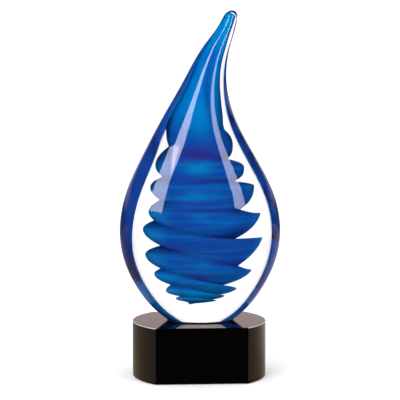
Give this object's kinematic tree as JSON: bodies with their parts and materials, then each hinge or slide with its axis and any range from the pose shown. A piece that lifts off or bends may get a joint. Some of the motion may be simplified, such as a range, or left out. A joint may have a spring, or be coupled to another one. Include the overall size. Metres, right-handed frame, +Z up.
{
  "type": "crystal award",
  "caption": "Free-standing art-glass award: a solid clear teardrop with a blue spiral core and a cobalt rim, bonded to a polished black glass base.",
  "frame": {"origin": "centre of the underside, on the surface it stands on", "axes": "+Z up; the broad front face looks along -Y; +X to the viewer's right, the side the tip leans to"},
  "size_m": [0.1141, 0.0698, 0.2593],
  "materials": {
    "felt": "dense black felt, short pile",
    "black_glass": "solid black glass, mirror polished",
    "adhesive": "thin cured clear adhesive, dark against the base",
    "blue_glass": "turquoise to royal blue glass, streaked, opaque",
    "clear_glass": "water-clear glass, fire polished",
    "cobalt_glass": "deep cobalt glass, polished"
  },
  "bodies": {
    "root": {"felt_pad": "felt", "glass_base": "black_glass", "bond_film": "adhesive", "spiral_core": "blue_glass", "clear_casing": "clear_glass", "cobalt_rim": "cobalt_glass"}
  },
  "joints": []
}
